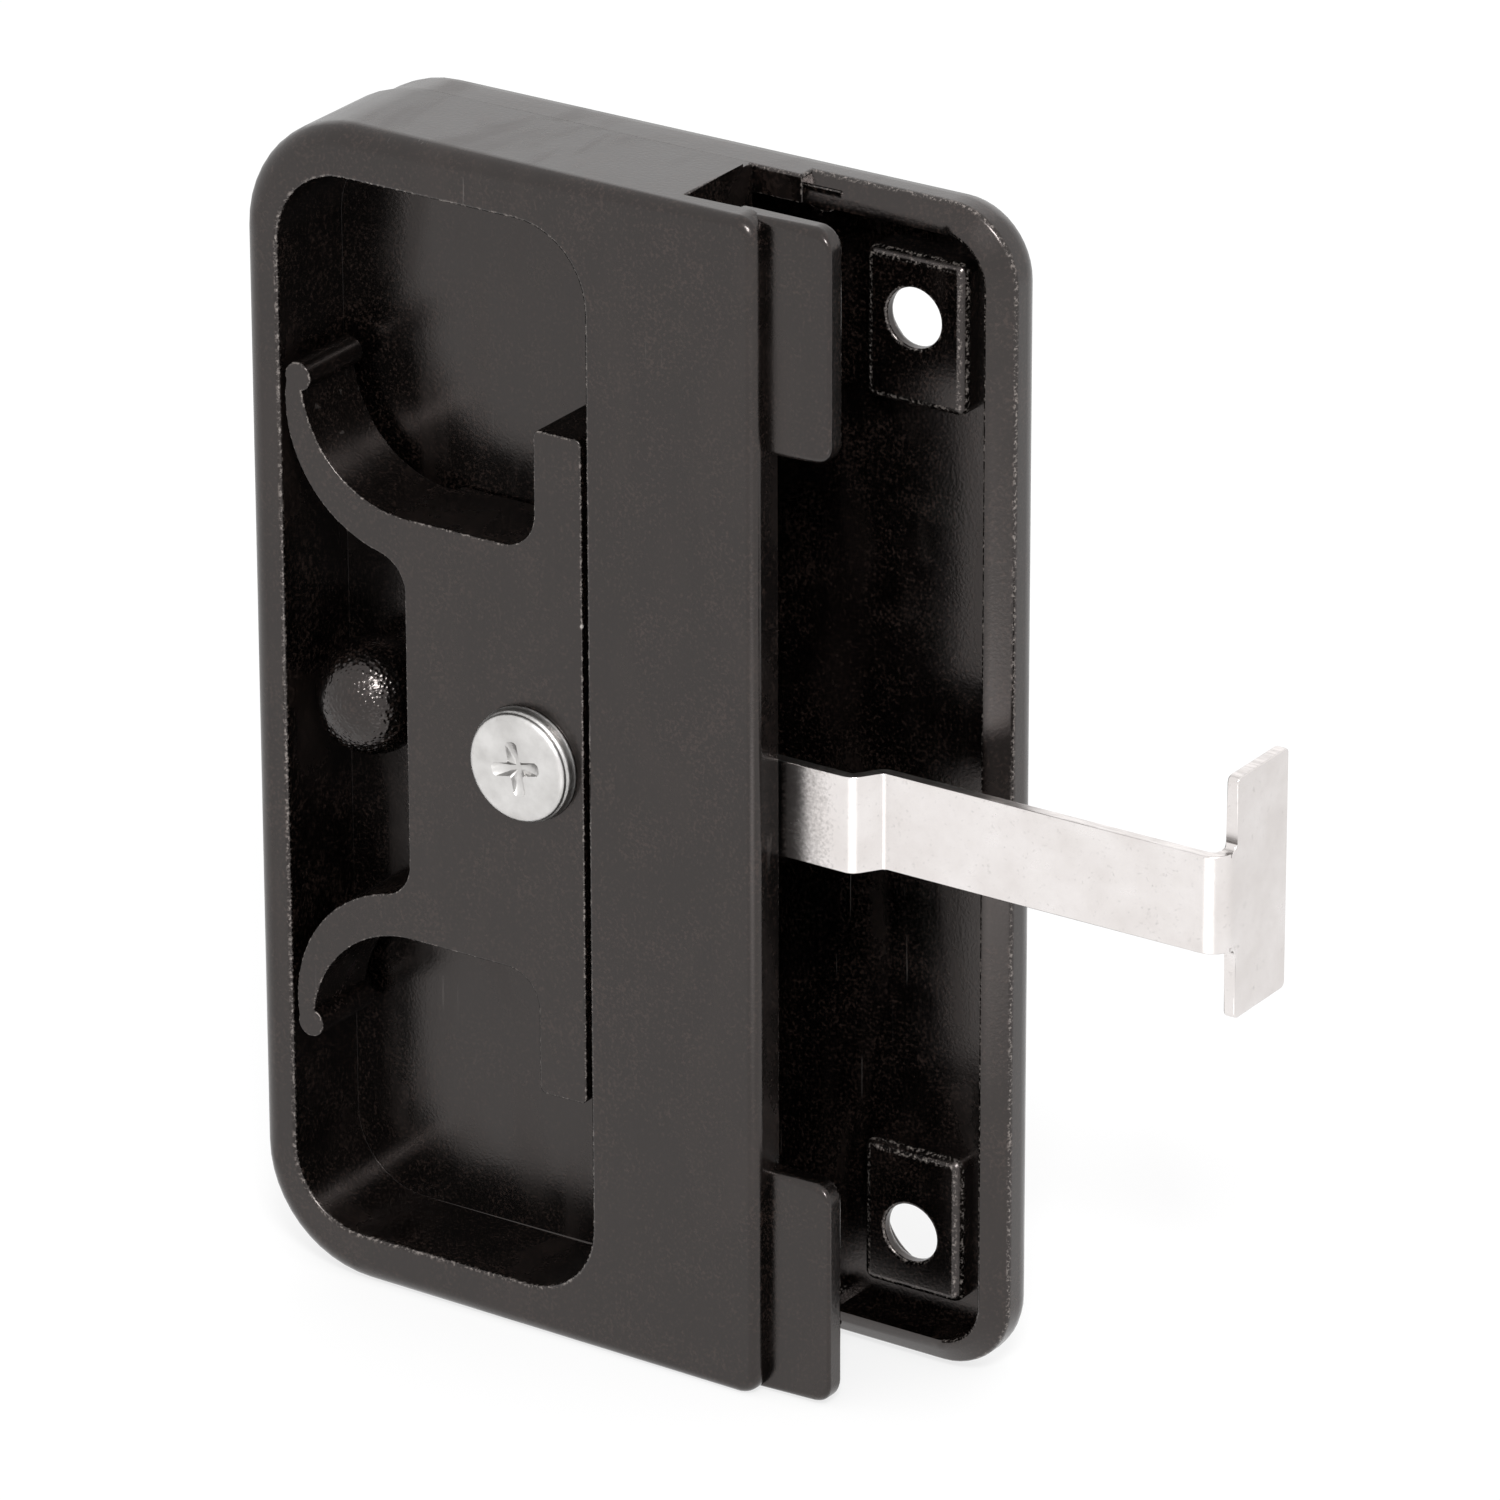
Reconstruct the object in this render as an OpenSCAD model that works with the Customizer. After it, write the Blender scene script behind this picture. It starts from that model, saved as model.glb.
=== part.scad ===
// Screen door latch: a slide in a moulded housing carries a T-headed steel hook.
// X runs along the plate towards the hook, Z is up, and +Y is the side that the user sees.
// The origin lies midway between the two fixing holes, on the face that sits on the door.

/* [Face plate] */
// Distance between the two fixing holes
hole_pitch = 76.2; // [74:0.1:78]
// Diameter of a fixing hole
hole_d = 4.8; // [4.2:0.1:5.4]
// Depth of the straight part of a fixing hole
hole_land = 1; // [0.8:0.1:1.4]
// Diameter of the countersink on the user side
sink_d = 9.2; // [7:0.1:10.5]
// Length of the plate to the left of the fixing holes
plate_left = 53; // [51:0.5:56]
// Length of the plate to the right of the fixing holes
plate_right = 9.2; // [8:0.1:12]
// Full height of the plate
plate_h = 96.4; // [94:0.1:104]
// Thickness of the plate from the door face to the user face
plate_t = 4; // [3.2:0.1:5]
// Radius of the two corners beside the fixing holes
corner_right = 6; // [4:0.1:8]
// Radius of the two corners beside the housing
corner_left = 10; // [7:0.1:11]
// Rounding of the edge on the user side
plate_edge = 2.6; // [1:0.1:2.8]
// Width of the rim around the tray
rim_w = 2.3; // [1.6:0.1:3]
// Depth of the tray below the rim
tray_depth = 1.9; // [1.2:0.1:2.4]
// Width of a fixing pad
pad_w = 9; // [7:0.1:11]
// Height of a fixing pad
pad_h = 12.3; // [10:0.1:14]
// Rounding of a pad's edge
pad_edge = 0.5; // [0.2:0.1:0.8]
// Distance from the rim of the tray to the seam below the housing
seam_rise = 1.5; // [1.2:0.1:2.2]
// Place of the end of the raised wall, left of the fixing holes
wall_end = 9; // [7.5:0.1:11]

/* [Housing] */
// Full height of the housing
housing_h = 97.4; // [95:0.1:105]
// Height of the housing's front face above the door face
front_height = 13; // [12:0.1:15]
// Thickness of the walls above and below the tub
wall_end_t = 4.2; // [2.5:0.1:5]
// Thickness of the wall at the left of the tub
wall_side_t = 3.4; // [2.6:0.1:4]
// Rounding of the front edge of the walls
wall_edge = 1.8; // [0.8:0.1:2.2]
// Width of the tub
tub_w = 28.5; // [27.8:0.1:29]
// Radius of the corners of the tub
tub_corner = 6.3; // [3:0.1:7]
// Height of the tub's floor above the door face
floor_rise = 4.4; // [4.2:0.1:4.8]
// Thickness of the tub's floor
floor_t = 1.8; // [1.2:0.1:2.2]
// Rounding between the tub's floor and its walls
floor_round = 1; // [0.5:0.1:1.5]
// Height of the set-back band along the seam
band_h = 1.5; // [1:0.1:2]
// Depth of the set-back band
band_depth = 0.25; // [0.1:0.05:0.4]
// Thickness of the wall between the tub and the door channel
inner_wall_t = 1.8; // [1.4:0.1:2.4]
// Right edge of the front plate, left of the fixing holes
front_right = 6.3; // [5:0.1:8]
// Rounding of the front plate's free edge
front_edge = 0.9; // [0.4:0.1:1]
// Radius of the front plate's two free corners
front_corner = 2; // [2:0.1:3]
// Thickness of the front plate
front_t = 2.2; // [1.8:0.1:2.6]
// Length of the notch where the upper and lower walls stop short of the front plate's edge
notch_l = 7; // [5:0.1:9]
// Step from the front plate down to the tabs
tab_step = 1.6; // [1:0.1:2]
// Thickness of a tab
tab_t = 1.8; // [1.4:0.1:2]
// Reach of a tab past the fixing holes' centre line
tab_reach = 1.2; // [0:0.1:2.5]
// Rounding of a tab's free edge
tab_edge = 0.8; // [0.3:0.1:0.9]
// Height of a tab
tab_h = 18.9; // [14:0.1:22]
// Distance from the end of the housing to a tab
tab_inset = 0.2; // [0.1:0.1:1]
// Radius of the domed post in the tub
dome_r = 4.6; // [3.5:0.1:4.8]
// Diameter of a locating peg
peg_d = 3; // [2.5:0.1:4]

/* [Slide] */
// Free travel of the slide each way from the middle
travel = 8; // [6:0.5:8.5]
// Depth of the slide moulding
slide_depth = 8.1; // [7.5:0.1:8.3]
// Width of the slide's body
slide_w = 16.6; // [15:0.1:17]
// Half height of the slide's body
slide_half = 17.7; // [16:0.1:19]
// Width of the long tongue on the slide
tongue_w = 4.4; // [3.5:0.1:5]
// Half height of the tongue
tongue_half = 27.7; // [26:0.1:29]
// Gap between the tongue and the wall of the tub
tongue_gap = 0.6; // [0.3:0.1:0.9]
// Inner radius of a spring arm
arm_inner_r = 9.7; // [9:0.1:10]
// Outer radius of a spring arm
arm_outer_r = 11.2; // [10.8:0.1:11.5]
// Thickness of a spring arm where it leaves the body
arm_root_t = 3.6; // [2.8:0.1:4]
// Radius of the fillet between a spring arm and the body
root_r = 3; // [1.5:0.1:3.5]
// Height of an arm's tip above the middle
arm_tip_z = 27.3; // [26.5:0.1:29]
// Radius of the bead at an arm's tip
bead_r = 1.2; // [0.8:0.05:1.5]
// Gap between a spring arm and the wall of the tub
arm_gap = 0.25; // [0.15:0.05:0.5]
// Height of the spring arms above the back of the slide
arm_lift = 1; // [0.8:0.1:2]

/* [Hook] */
// Height of the steel strip
strip_h = 8; // [7:0.1:9]
// Thickness of the steel strip
strip_t = 1; // [0.8:0.05:1.2]
// Place of the T head's outer face, right of the fixing holes
head_x = 32; // [27:0.1:36]
// Height of the T head
head_h = 19.7; // [16:0.1:24]
// Depth of the T head past its neck
head_depth = 7.3; // [6:0.1:9]
// Length of the neck between the bend and the T head
neck_l = 0.4; // [0:0.1:2]
// Depth of the joggle
joggle = 2.2; // [1.6:0.1:2.6]
// Place where the joggle begins, left of the fixing holes
joggle_start = 0.2; // [-2:0.1:2]
// Slope of the joggle in degrees
joggle_slope = 55; // [35:1:65]
// Bend radius of the joggle at the middle of the steel
joggle_r = 1; // [0.7:0.1:1.1]
// Inner radius of the bend at the T head
bend_r = 0.8; // [0.4:0.1:1.2]

/* [Screw and thumb button] */
// Diameter of the screw head
head_d = 9.4; // [8:0.1:10.5]
// Thickness of the screw head
head_t = 1.6; // [1.2:0.1:2]
// Diameter of the screw's shank
shank_d = 3.9; // [3.5:0.1:4.2]
// Width of the button's stem
stem_w = 8.6; // [7.5:0.1:9]
// Width of the button's base
base_w = 15; // [13:0.5:18]
// Thickness of the button's base
base_t = 1.6; // [1.2:0.1:2]
// Height of the grip above the base
grip_rise = 7; // [4:0.5:10]
// Height of the grip along the travel
grip_h = 24; // [18:0.5:30]
// Width of the grip
grip_w = 11; // [9:0.5:13]
// Number of grooves across the grip
grip_grooves = 5; // [3:1:7]

/* [Hidden] */
$fn = 64;

// small amount by which a cut passes a face
over = 0.5;
// running gap between faces that slide on each other
slip = 0.2;
// gap around the steel strip where it passes through a moulding
strip_gap = 0.15;
// gap around a locating peg
peg_gap = 0.05;

half_h = plate_h / 2;
box_half = housing_h / 2;
half_pitch = hole_pitch / 2;
sink_h = (sink_d - hole_d) / 2;
tray_floor = -tray_depth;
floor_top = floor_rise;
floor_under = floor_top - floor_t;
tub_left = -plate_left + wall_side_t;
tub_right = tub_left + tub_w;
tub_half = box_half - wall_end_t;
inner_wall_right = tub_right + inner_wall_t;
notch_x = -front_right - notch_l;
tab_front = front_height - tab_step;
tab_back = tab_front - tab_t;
tab_top = box_half - tab_inset;

slide_bottom = floor_top + slip;
slide_top = slide_bottom + slide_depth;
slide_right = tub_right - tongue_gap;
slide_left = slide_right - slide_w;
tongue_left = slide_right - tongue_w;

// the strip runs just behind the tab plate, and drops by the joggle on its way out
strip_top = tab_back - 2 * strip_gap;
strip_bottom = strip_top - strip_t;
strip_half = strip_h / 2;
head_top = strip_bottom - joggle - bend_r - neck_l;
joggle_run = 2 * joggle_r * sin(joggle_slope)
    + (joggle - 2 * joggle_r * (1 - cos(joggle_slope))) / tan(joggle_slope);
joggle_end = joggle_run - joggle_start;
arm_x = tub_left + arm_gap + arm_outer_r;
arm_z = slide_half - arm_root_t + arm_outer_r;

screw_x = slide_right - 5.3;
stem_half = strip_half - 0.05;
slot_half = stem_half + travel + slip;
base_half = slot_half + travel + 1.4;
pocket_left = screw_x - stem_w / 2 - slip;
pegs = [for (x = [tub_left + 5.2, tub_right - 4.8], z = [-1, 1] * (tub_half - 8)) [x, z]];

// turns a shape drawn with its height towards the door onto the latch's own axes
module to_latch() { rotate([90, 0, 0]) children(); }

// a disc with one rounded edge, for the corners of rounded plates
module corner_disc(r, h, edge, fn_plan = 48, fn_edge = 24) {
    rotate_extrude($fn = fn_plan) {
        square([r, h - edge]);
        square([r - edge, h]);
        translate([r - edge, h - edge]) circle(edge, $fn = fn_edge);
    }
}

// a flat outline with a corner radius of its own at the left and at the right
module outline(left, right, half, r_left, r_right) {
    union() {
        for (s = [-1, 1]) {
            translate([left + r_left, s * (half - r_left)]) circle(r_left);
            translate([right - r_right, s * (half - r_right)]) circle(r_right);
        }
        translate([left + r_left, -half]) square([right - left - r_left - r_right, 2 * half]);
        translate([left, -half + r_left]) square([r_left + over, 2 * (half - r_left)]);
        translate([right - r_right - over, -half + r_right]) square([r_right + over, 2 * (half - r_right)]);
    }
}

// a plate whose upper edge is rounded all round
module soft_plate(left, right, half, r_left, r_right, h, edge, edge_right, fn_plan = 48, fn_edge = 24) {
    hull() for (s = [-1, 1]) {
        translate([left + r_left, s * (half - r_left), 0]) corner_disc(r_left, h, edge, fn_plan, fn_edge);
        translate([right - r_right, s * (half - r_right), 0])
            corner_disc(r_right, h, edge_right, fn_plan, fn_edge);
    }
}

// a box given by its two corners
module span(a, b) { translate(a) cube(b - a); }

// a round-ended slot
module slot(x, half_l, r, z0, z1, along_x = false) {
    translate([x, 0, z0]) linear_extrude(z1 - z0) union() {
        for (s = [-1, 1]) translate(along_x ? [s * half_l, 0] : [0, s * half_l]) circle(r);
        square(along_x ? [2 * half_l, 2 * r] : [2 * r, 2 * half_l], center = true);
    }
}

// wall that carries the housing, open towards the fixing holes
module seam_wall() {
    difference() {
        linear_extrude(seam_rise)
            outline(-plate_left, plate_right, half_h, corner_left, corner_right);
        translate([0, 0, -over]) linear_extrude(seam_rise + 2 * over)
            outline(tub_left, plate_right + 20, half_h - rim_w, corner_left - wall_side_t, 1);
        span([-wall_end, -half_h - 1, -over], [plate_right + 1, half_h + 1, seam_rise + over]);
    }
}

module fixing_pads() {
    left = 0.1 - pad_w / 2;
    for (s = [-1, 1]) translate([0, s * (half_pitch - 1.05), tray_floor - 0.3]) hull() {
        linear_extrude(tray_depth + 0.3 - pad_edge) outline(left, left + pad_w, pad_h / 2, 0.9, 0.9, $fn = 24);
        linear_extrude(tray_depth + 0.3)
            outline(left + pad_edge, left + pad_w - pad_edge, pad_h / 2 - pad_edge, 0.4, 0.4, $fn = 24);
    }
}

// upright rib on the rim where the raised wall ends
module rim_rib() {
    for (s = [-1, 1]) translate([-wall_end + 1.4, s * (half_h - rim_w), tray_floor])
        linear_extrude(tray_depth + 0.9)
            polygon([[-1.7, 0.3 * s], [-0.6, -0.6 * s], [0.6, -0.6 * s], [1.7, 0.3 * s],
                     [1.7, (rim_w - 0.9) * s], [-1.7, (rim_w - 0.9) * s]]);
}

// sockets that take the housing's pegs, with a web to the nearest wall
module peg_sockets() {
    for (p = pegs) {
        translate([p[0], p[1], tray_floor - 0.2]) cylinder(r = peg_d, h = floor_under - tray_floor + 0.2);
        span([p[0] - 0.6, p[1] > 0 ? p[1] : -half_h + 1, tray_floor - 0.2],
             [p[0] + 0.6, p[1] > 0 ? half_h - 1 : p[1], seam_rise]);
    }
}

module face_plate() {
    color("#2b2826") to_latch() difference() {
        union() {
            difference() {
                mirror([0, 0, 1]) soft_plate(-plate_left, plate_right, half_h, corner_left,
                                             corner_right, plate_t, plate_edge, plate_edge);
                translate([0, 0, tray_floor]) linear_extrude(plate_t)
                    outline(tub_left, plate_right - rim_w, half_h - rim_w,
                            corner_left - wall_side_t, corner_right - rim_w);
            }
            seam_wall();
            fixing_pads();
            rim_rib();
            peg_sockets();
            span([tub_right, -half_h + rim_w / 2, tray_floor - 0.2],
                 [inner_wall_right, half_h - rim_w / 2, seam_rise]);
            span([tub_right, -tub_half + 1, 0], [inner_wall_right, tub_half - 1, floor_under]);
            span([screw_x - stem_w / 2 - 2, -slot_half - 2, tray_floor - 0.2],
                 [screw_x + stem_w / 2 + 2, slot_half + 2, floor_under]);
        }
        for (s = [-1, 1]) translate([0, s * half_pitch, 0]) {
            translate([0, 0, -plate_t - over]) cylinder(d = hole_d, h = plate_t + 2 * over);
            translate([0, 0, -hole_land - sink_h]) cylinder(d1 = sink_d, d2 = hole_d, h = sink_h);
            translate([0, 0, -plate_t - over])
                cylinder(d = sink_d, h = plate_t + over - hole_land - sink_h + 0.01);
        }
        for (p = pegs) translate([p[0], p[1], tray_floor]) cylinder(d = peg_d + 2 * peg_gap, h = plate_t + 5);
        span([screw_x - stem_w / 2 - slip, -slot_half, -plate_t - over],
             [screw_x + stem_w / 2 + slip, slot_half, floor_under + over]);
    }
}

// front plate, walls and floor before the channel for the door is cut away
module housing_block() {
    translate([0, 0, seam_rise]) linear_extrude(band_h)
        outline(band_depth - plate_left, -front_right, box_half - band_depth,
                corner_left - band_depth, front_corner);
    translate([0, 0, seam_rise + band_h])
        soft_plate(-plate_left, -front_right, box_half, corner_left, front_corner,
                   front_height - seam_rise - band_h, wall_edge, front_edge);
}

// the tub, with a round between its floor and its walls
module tub_cut() {
    translate([0, 0, front_height + over]) mirror([0, 0, 1])
        soft_plate(tub_left, tub_right, tub_half, tub_corner, tub_corner,
                   front_height + over - floor_top, floor_round, slip, 40, 20);
}

// shallow space under the tub's floor, which fits over the plate's ribs
module under_cut() {
    translate([0, 0, seam_rise - over]) linear_extrude(floor_under - seam_rise + over)
        outline(tub_left, inner_wall_right + over, tub_half, tub_corner, 1);
}

// the space under the front plate that takes the edge of the door
module door_channel() {
    span([inner_wall_right, -tub_half, seam_rise - over], [notch_x + over, tub_half, front_height - front_t]);
    span([notch_x, -box_half - 1, seam_rise - over], [plate_right, box_half + 1, front_height - front_t]);
}

// plate behind the front face, which ends in the two tabs
module tab_plate() {
    span([inner_wall_right - 1, -tub_half - 0.5, tab_back], [-front_right, tub_half + 0.5, tab_front]);
    for (s = [-1, 1]) translate([0, s * (tab_top - tab_h / 2), tab_back])
        soft_plate(-front_right - 3, tab_reach, tab_h / 2, 1, 1.8, tab_t, 0.4, tab_edge, 32, 20);
}

module housing() {
    color("#2b2826") to_latch() {
        difference() {
            union() {
                difference() {
                    housing_block();
                    door_channel();
                    under_cut();
                }
                tab_plate();
                for (p = pegs) translate([p[0], p[1], 0]) cylinder(d = peg_d, h = floor_under + 0.3);
            }
            tub_cut();
            span([tub_right - over, -strip_half - travel - 2 * strip_gap, strip_bottom - strip_gap],
                 [inner_wall_right + over, strip_half + travel + 2 * strip_gap, strip_top + strip_gap]);
            span([screw_x - stem_w / 2 - slip, -slot_half, seam_rise - over],
                 [screw_x + stem_w / 2 + slip, slot_half, floor_top + over]);
        }
        domed_post();
    }
}

// post with a rounded end that stands in the gap between the spring arms
module domed_post() {
    x = tub_left + 0.4 + dome_r;
    translate([x, 0, floor_top - 0.2]) cylinder(r = dome_r - 0.8, h = slide_top - floor_top - dome_r);
    translate([x, 0, slide_top + 0.1 - dome_r]) sphere(dome_r, $fn = 48);
}

// one curved arm, drawn above the middle line
module arm_outline() {
    root_z = arm_z - sqrt(pow(arm_outer_r + root_r, 2) - pow(arm_x - slide_left + root_r, 2));
    root_x = slide_left - root_r + root_r * (arm_x - slide_left + root_r) / (arm_outer_r + root_r);
    difference() {
        translate([arm_x, arm_z]) circle(arm_outer_r);
        translate([arm_x + 0.05, slide_half + arm_inner_r]) circle(arm_inner_r);
        translate([arm_x - arm_outer_r - 1, arm_tip_z]) square([3 * arm_outer_r, arm_outer_r]);
        translate([slide_left + over, 0]) square([3 * arm_outer_r, 4 * arm_outer_r]);
    }
    translate([arm_x - arm_outer_r + bead_r + 0.05, arm_tip_z]) circle(bead_r, $fn = 40);
    // fillet between the outer side of the arm and the body
    difference() {
        translate([root_x, root_z]) square([slide_left - root_x + over, root_r + 0.5]);
        translate([slide_left - root_r, root_z]) circle(root_r);
    }
}

// body and tongue of the slide, drawn above the middle line
module body_outline() {
    r = 0.6;
    corner = 3;
    translate([slide_left, -over]) square([slide_w, slide_half + over]);
    translate([tongue_left, 0]) square([tongue_w, tongue_half - r]);
    translate([tongue_left + r, 0]) square([tongue_w - 2 * r, tongue_half]);
    for (x = [tongue_left + r, slide_right - r]) translate([x, tongue_half - r]) circle(r, $fn = 24);
    translate([tongue_left - corner, slide_half - 0.01]) difference() {
        square(corner + 0.01);
        translate([0, corner + 0.01]) circle(corner);
    }
}

module slide() {
    color("#2d2a28") to_latch() difference() {
        union() for (s = [0, 1]) mirror([0, s]) {
            translate([0, 0, slide_bottom]) linear_extrude(slide_depth) body_outline();
            translate([0, 0, slide_bottom + arm_lift])
                linear_extrude(slide_depth - arm_lift) arm_outline();
        }
        span([pocket_left, -strip_half - 0.1, slide_bottom - over],
             [slide_right + over, strip_half + 0.1, strip_top]);
        translate([screw_x, 0, slide_bottom]) cylinder(d = shank_d + 0.4, h = slide_depth + over);
    }
}

// one side of the joggle, at the distance d from the middle of the steel
function joggle_side(d) = let (top = strip_bottom + strip_t / 2, low = top - joggle, n = 6) concat(
    [[-joggle_start - over, top + d]],
    [for (i = [0:n]) let (a = joggle_slope * i / n)
        [-joggle_start + (joggle_r + d) * sin(a), top - joggle_r + (joggle_r + d) * cos(a)]],
    [for (i = [n:-1:0]) let (a = joggle_slope * i / n)
        [joggle_end - (joggle_r - d) * sin(a), low + joggle_r - (joggle_r - d) * cos(a)]],
    [[joggle_end + over, low + d]]);

// side view of the strip: straight, joggle, straight, the bend and the neck of the T head
module strip_side() {
    drop = strip_bottom - joggle;
    bend_x = head_x - strip_t - bend_r;
    under = joggle_side(-strip_t / 2);
    translate([pocket_left + 0.4, strip_bottom]) square([-joggle_start - pocket_left - 0.4, strip_t]);
    polygon(concat(joggle_side(strip_t / 2), [for (i = [len(under) - 1:-1:0]) under[i]]));
    difference() {
        union() {
            translate([joggle_end, drop]) square([head_x - joggle_end, strip_t]);
            translate([bend_x, head_top - over]) square([bend_r + strip_t, drop + strip_t - head_top + over]);
        }
        translate([bend_x, drop - bend_r]) circle(bend_r);
        translate([bend_x - over, head_top - 2 * over]) square([bend_r + over, neck_l + 2 * over]);
        translate([bend_x, drop - bend_r]) difference() {
            square(bend_r + strip_t + over);
            circle(bend_r + strip_t);
        }
    }
}

// flat T head with eased corners, seen along the strip
module head_face() {
    r = 0.5;
    neck_r = 0.8;
    for (s = [-1, 1]) {
        translate([head_top - r, s * (head_h / 2 - r)]) circle(r, $fn = 24);
        translate([head_top - head_depth + r, s * (head_h / 2 - r)]) circle(r, $fn = 24);
    }
    translate([head_top - head_depth, -head_h / 2 + r]) square([head_depth, head_h - 2 * r]);
    translate([head_top - head_depth + r, -head_h / 2]) square([head_depth - 2 * r, head_h]);
    for (s = [-1, 1]) translate([head_top - 0.01, s * strip_half]) difference() {
        translate([0, s > 0 ? -0.3 : 0.3 - neck_r]) square(neck_r);
        translate([neck_r, s * neck_r]) circle(neck_r, $fn = 24);
    }
}

module hook() {
    color("#c9c6c2") to_latch() difference() {
        union() {
            rotate([90, 0, 0]) translate([0, 0, -strip_half]) linear_extrude(strip_h) strip_side();
            translate([head_x, 0, 0]) rotate([0, -90, 0]) linear_extrude(strip_t) head_face();
        }
        slot(screw_x, 1.6, shank_d / 2 + 0.2, strip_bottom - over, strip_top + over, true);
    }
}

module clamp_screw() {
    color("#bdbab6") to_latch() difference() {
        union() {
            translate([screw_x, 0, slide_top]) rotate_extrude() {
                square([head_d / 2, head_t - 0.5]);
                square([head_d / 2 - 0.5, head_t]);
                translate([head_d / 2 - 0.5, head_t - 0.5]) circle(0.5, $fn = 24);
            }
            translate([screw_x, 0, 0.6]) cylinder(d = shank_d, h = slide_top);
            translate([screw_x, 0, -0.6]) cylinder(d1 = shank_d - 1.4, d2 = shank_d, h = 1.2);
        }
        for (a = [0, 90]) translate([screw_x, 0, slide_top + head_t]) rotate([0, 0, a + 12])
            cube([4.8, 0.95, 2.2], center = true);
    }
}

// grip with grooves, as a side view along the travel
module grip_side() {
    difference() {
        union() {
            translate([-grip_h / 2, 0]) square([grip_h, grip_rise - 1.5]);
            translate([-grip_h / 2 + 1.5, 0]) square([grip_h - 3, grip_rise]);
            for (s = [-1, 1]) translate([s * (grip_h / 2 - 1.5), grip_rise - 1.5]) circle(1.5, $fn = 32);
        }
        for (i = [0:grip_grooves - 1])
            translate([(i - (grip_grooves - 1) / 2) * grip_h / (grip_grooves + 1), grip_rise + 0.7])
                circle(1.3, $fn = 24);
    }
}

module thumb_button() {
    base_top = -plate_t - 0.15;
    color("#2b2826") to_latch() difference() {
        union() {
            translate([screw_x, 0, base_top - base_t]) linear_extrude(base_t)
                outline(-base_w / 2, base_w / 2, base_half, 2, 2);
            translate([screw_x, 0, base_top - base_t / 2]) rotate([90, 0, -90])
                translate([0, 0, -grip_w / 2]) linear_extrude(grip_w) mirror([0, 1]) grip_side();
            span([screw_x - stem_w / 2, -stem_half, base_top - base_t / 2],
                 [screw_x + stem_w / 2, stem_half, strip_bottom]);
        }
        translate([screw_x, 0, -1.2]) cylinder(d = shank_d + 0.1, h = strip_bottom + 1.2 + over);
    }
}

face_plate();
housing();
slide();
hook();
clamp_screw();
thumb_button();
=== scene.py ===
import math
import bpy
import bmesh
from mathutils import Matrix, Vector
from mathutils.geometry import delaunay_2d_cdt


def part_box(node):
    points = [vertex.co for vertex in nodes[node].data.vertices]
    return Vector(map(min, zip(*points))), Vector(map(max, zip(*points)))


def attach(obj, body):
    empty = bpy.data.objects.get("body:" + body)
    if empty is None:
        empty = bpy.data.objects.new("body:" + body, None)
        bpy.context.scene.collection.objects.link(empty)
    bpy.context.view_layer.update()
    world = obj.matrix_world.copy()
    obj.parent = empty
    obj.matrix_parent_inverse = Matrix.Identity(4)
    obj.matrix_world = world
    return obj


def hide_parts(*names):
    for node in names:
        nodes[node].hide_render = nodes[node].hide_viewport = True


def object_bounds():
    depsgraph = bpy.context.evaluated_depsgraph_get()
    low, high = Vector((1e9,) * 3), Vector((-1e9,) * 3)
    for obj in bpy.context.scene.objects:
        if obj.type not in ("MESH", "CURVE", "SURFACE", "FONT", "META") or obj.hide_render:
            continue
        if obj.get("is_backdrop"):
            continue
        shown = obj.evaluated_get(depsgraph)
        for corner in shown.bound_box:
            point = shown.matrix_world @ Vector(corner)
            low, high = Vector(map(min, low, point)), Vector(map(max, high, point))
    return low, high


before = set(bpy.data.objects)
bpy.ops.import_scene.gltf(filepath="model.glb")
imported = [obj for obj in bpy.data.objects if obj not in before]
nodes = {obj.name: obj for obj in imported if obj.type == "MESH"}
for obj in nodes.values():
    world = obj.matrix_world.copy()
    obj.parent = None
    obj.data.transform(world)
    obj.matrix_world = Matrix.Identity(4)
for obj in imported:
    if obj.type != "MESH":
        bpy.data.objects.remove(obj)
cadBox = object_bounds()
print("stage: frame loaded")

mm = 0.001


def addNode(tree, kind, inputs=None, **settings):
    node = tree.nodes.new(kind)
    for name, value in settings.items():
        setattr(node, name, value)
    for name, value in (inputs or {}).items():
        node.inputs[name].default_value = value
    return node


def joinNodes(tree, *links):
    for source, target in links:
        tree.links.new(source, target)


def newMaterial(name):
    material = bpy.data.materials.new(name)
    material.use_nodes = True
    material.node_tree.nodes.clear()
    return material, material.node_tree


def noiseAt(tree, coordinates, scale, detail=3.0, roughness=0.55, stretch=(1, 1, 1), turn=0, warp=0.0):
    # stretch is along the object's own axes, and turn is in degrees about the axis through the plate
    mapping = addNode(tree, "ShaderNodeMapping", {"Scale": stretch, "Rotation": (0, math.radians(turn), 0)})
    noise = addNode(tree, "ShaderNodeTexNoise", {
        "Scale": scale, "Detail": detail, "Roughness": roughness, "Distortion": warp})
    joinNodes(
        tree, (coordinates, mapping.inputs["Vector"]), (mapping.outputs["Vector"], noise.inputs["Vector"]))
    return noise.outputs["Fac"]


def remap(tree, value, span, low=0.0, high=1.0):
    node = addNode(tree, "ShaderNodeMapRange", {
        "From Min": span[0], "From Max": span[1], "To Min": low, "To Max": high})
    joinNodes(tree, (value, node.inputs["Value"]))
    return node.outputs["Result"]


def combine(tree, operation, *values):
    node = addNode(tree, "ShaderNodeMath", operation=operation)
    for socket, value in zip(node.inputs, values):
        if isinstance(value, (int, float)):
            socket.default_value = value
        else:
            joinNodes(tree, (value, socket))
    return node.outputs[0]


def plus(tree, first, second):
    return combine(tree, "ADD", first, second)


def times(tree, first, second):
    return combine(tree, "MULTIPLY", first, second)


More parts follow.
